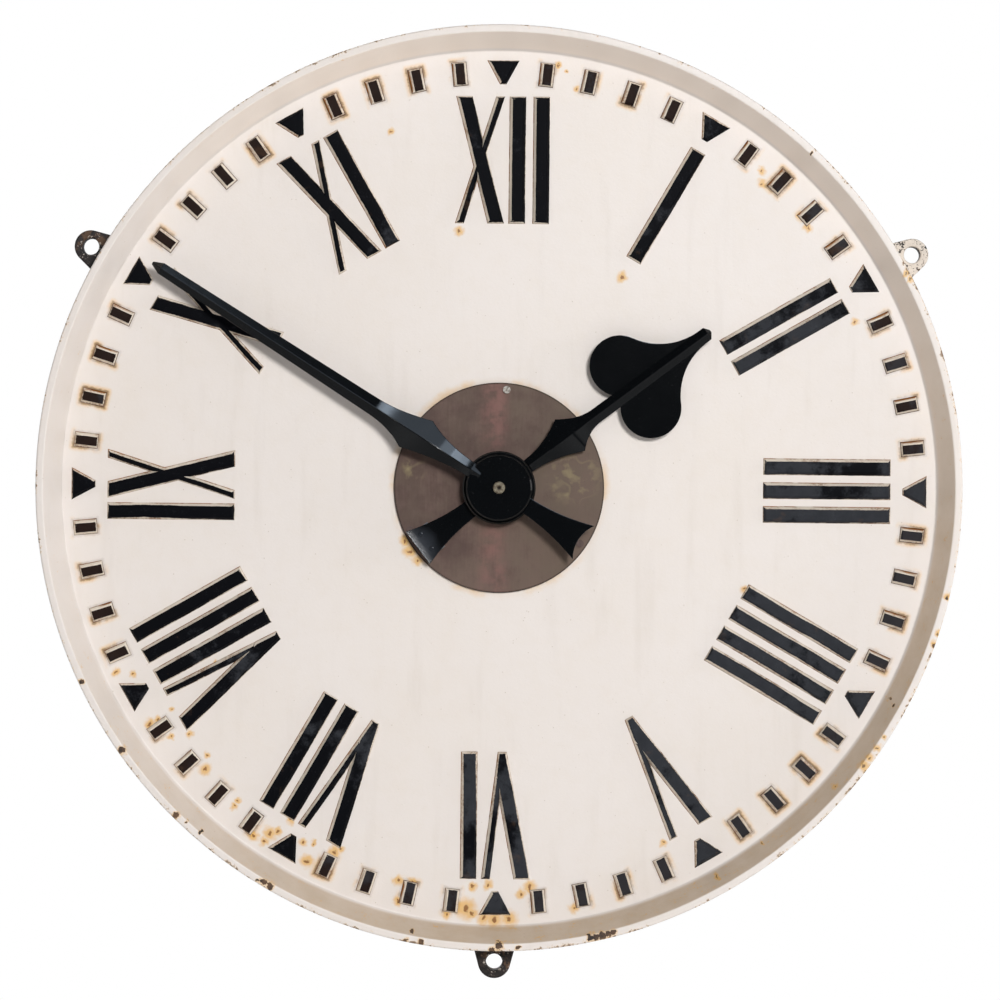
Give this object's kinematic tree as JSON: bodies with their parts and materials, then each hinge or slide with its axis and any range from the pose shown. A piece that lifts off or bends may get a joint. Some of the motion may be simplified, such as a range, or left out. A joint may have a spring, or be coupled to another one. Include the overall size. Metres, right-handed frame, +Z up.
{
  "type": "railway_clock_dial",
  "caption": "Large cast-iron railway dial with raised Roman numerals, spade hour hand and tapered minute hand, brass centre plate and an electric slave movement behind",
  "frame": {"origin": "on the dial's axis, in the plane where the three lugs meet what they are bolted to", "axes": "+Z is up at 12 o'clock, the dial faces -Y and is read from there with +X to the right, +Y is towards the wall"},
  "size_m": [0.914, 0.1607, 0.941],
  "materials": {
    "cast_iron_white": "off-white paint on cast iron, worn black relief tops",
    "patinated_brass": "brown patina",
    "bright_steel": "turned and brushed",
    "black_paint": "satin black",
    "brass": "brushed",
    "stator_iron": "blued soft iron",
    "magnet": "sintered, dark grey",
    "black_moulding": "moulded insulation, dull",
    "coil_tape": "varnished cotton tape",
    "lead_sleeve": "dull red insulation",
    "lead_weight": "dull grey"
  },
  "bodies": {
    "dial": {"dial_casting": "cast_iron_white", "centre_plate": "patinated_brass", "centre_plate_screws": "bright_steel", "movement_posts": "bright_steel", "post_nuts": "bright_steel", "front_plate": "brass", "back_plate": "brass", "plate_pillars": "brass", "pillar_screws": "bright_steel", "front_bushes": "brass", "back_bushes": "brass", "motion_stud": "bright_steel", "motion_clip": "bright_steel", "stator_yoke": "stator_iron", "coil_bobbin": "black_moulding", "coil_wrap": "coil_tape", "coil_leads": "lead_sleeve", "stator_spacers": "brass", "stator_screws": "bright_steel", "terminal_block": "black_moulding", "terminal_screws": "brass", "block_screws": "bright_steel"},
    "minute": {"minute_arbor": "bright_steel", "cannon_pinion": "bright_steel", "centre_wheel": "brass", "clutch_spring": "bright_steel", "clutch_collar": "brass", "setting_knob": "brass", "minute_hand": "black_paint", "minute_hand_boss": "black_paint", "minute_boss_nut": "bright_steel", "minute_set_screw": "bright_steel"},
    "hour": {"hour_pipe": "brass", "hour_wheel": "brass", "hour_hand": "black_paint", "hour_hand_boss": "black_paint", "hour_boss_nut": "bright_steel", "hour_set_screw": "bright_steel", "hour_counterweight": "lead_weight", "hour_hand_rivets": "black_paint"},
    "motion": {"minute_wheel": "brass", "minute_pinion": "bright_steel"},
    "intermediate": {"intermediate_arbor": "bright_steel", "intermediate_wheel": "brass", "intermediate_pinion": "bright_steel"},
    "rotor": {"rotor_arbor": "bright_steel", "rotor_magnet": "magnet", "rotor_pinion": "bright_steel"}
  },
  "joints": [
    {"name": "minute_spin", "type": "hinge", "parent": "dial", "child": "minute", "pos_m": [0, 0, 0], "axis": [0, 1, 0], "continuous": true},
    {"name": "hour_spin", "type": "hinge", "parent": "dial", "child": "hour", "pos_m": [0, 0, 0], "axis": [0, 1, 0], "continuous": true},
    {"name": "motion_spin", "type": "hinge", "parent": "dial", "child": "motion", "pos_m": [0, 0, 0.045], "axis": [0, 1, 0], "continuous": true},
    {"name": "intermediate_spin", "type": "hinge", "parent": "dial", "child": "intermediate", "pos_m": [-0.04423, 0, -0.03097], "axis": [0, 1, 0], "continuous": true},
    {"name": "rotor_spin", "type": "hinge", "parent": "dial", "child": "rotor", "pos_m": [0.00335, 0, -0.05316], "axis": [0, 1, 0], "continuous": true}
  ],
  "couplings": [
    {"joint": "hour_spin", "follows": "minute_spin", "ratio": 0.083333},
    {"joint": "motion_spin", "follows": "minute_spin", "ratio": -0.33333},
    {"joint": "intermediate_spin", "follows": "minute_spin", "ratio": -5},
    {"joint": "rotor_spin", "follows": "minute_spin", "ratio": 30}
  ]
}
